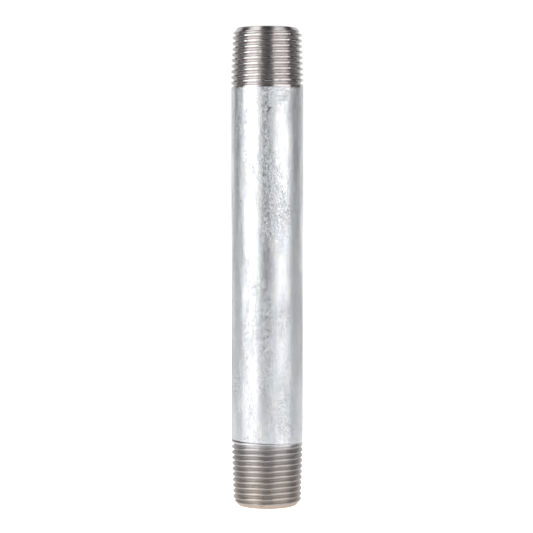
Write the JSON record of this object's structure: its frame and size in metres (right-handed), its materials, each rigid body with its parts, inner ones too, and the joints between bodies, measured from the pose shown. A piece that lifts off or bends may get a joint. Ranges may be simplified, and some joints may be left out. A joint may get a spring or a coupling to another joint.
{
  "type": "threaded pipe nipple",
  "caption": "Straight steel pipe nipple, galvanised on the barrel and in the bore, with a bare right-hand taper thread on each end for joining two female pipe fittings.",
  "frame": {"origin": "centre of the lower end face, on the pipe's axis", "axes": "+Z along the pipe from the lower end to the upper end; -Y faces the viewer and +X is to the right"},
  "size_m": [0.0172, 0.0172, 0.1143],
  "materials": {
    "bare_steel": "die-cut bare steel threads, slightly oily, with traces of rust",
    "weld_steel": "dressed weld metal, a little darker than the wall",
    "zinc_outside": "hot-dip galvanised zinc, satin with fine spangle",
    "zinc_inside": "hot-dip galvanised zinc, duller and rougher than outside"
  },
  "bodies": {
    "root": {"pipe_wall": "bare_steel", "seam_weld": "weld_steel", "zinc_coat_outside": "zinc_outside", "zinc_coat_bore": "zinc_inside"}
  },
  "joints": []
}
